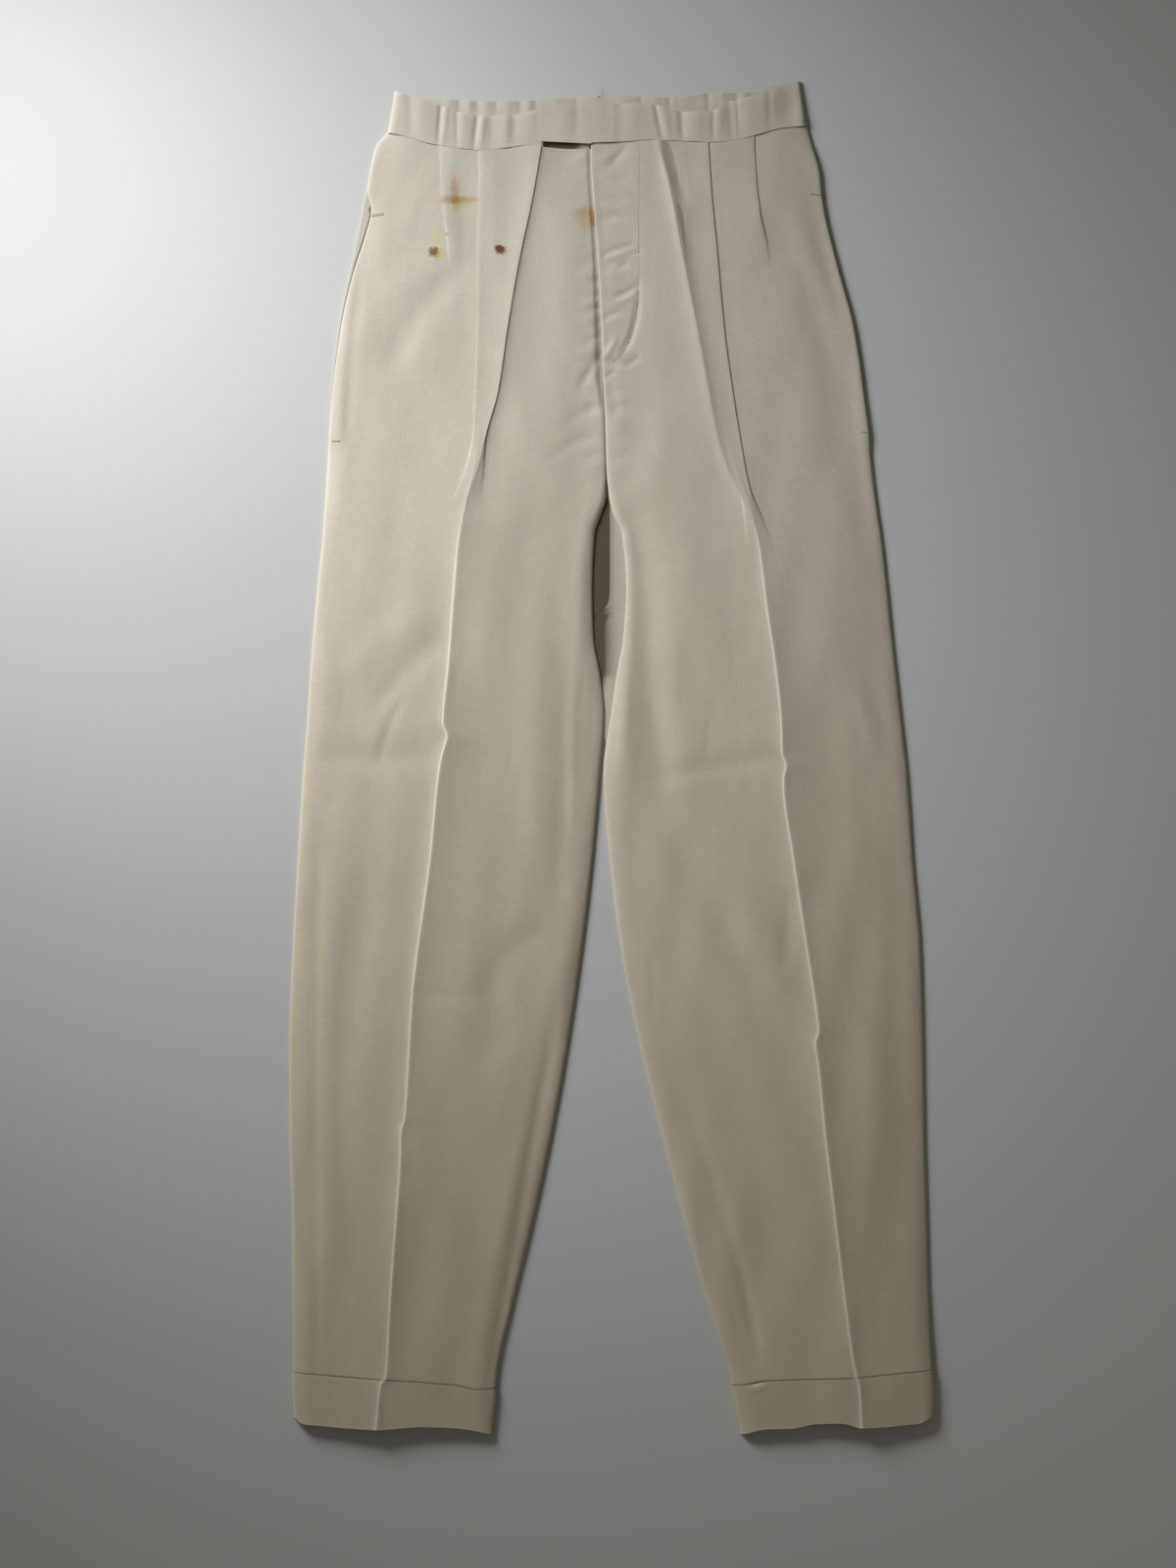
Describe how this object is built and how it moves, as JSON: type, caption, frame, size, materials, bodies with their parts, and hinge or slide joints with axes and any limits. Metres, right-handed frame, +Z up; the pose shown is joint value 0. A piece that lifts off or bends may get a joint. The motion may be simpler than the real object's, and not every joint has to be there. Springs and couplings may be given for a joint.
{
  "type": "pleated trousers",
  "caption": "Long trousers laid flat with the front up, with a lapped fly, front pleats and creases, a gathered waistband with a tab, side pockets and turn-ups.",
  "frame": {"origin": "centre of the bounding box in plan, on the surface that the trousers lie on", "axes": "+X towards the wearer's left, +Y from the hems to the waist, +Z up out of the front, away from the surface"},
  "size_m": [0.522, 1.0945, 0.009],
  "materials": {
    "cloth": "matt ecru plain weave with slubs",
    "pocket_cloth": "matt ecru plain weave, in the pocket mouths"
  },
  "bodies": {
    "root": {"back_right": "cloth", "back_left": "cloth", "front_right": "cloth", "front_left": "cloth", "turnup_front_right": "cloth", "turnup_front_left": "cloth", "turnup_back_right": "cloth", "turnup_back_left": "cloth", "pocket_facing_right": "pocket_cloth", "pocket_facing_left": "pocket_cloth", "waistband_back": "cloth", "waistband_front_right": "cloth", "waistband_front_left": "cloth"}
  },
  "joints": []
}
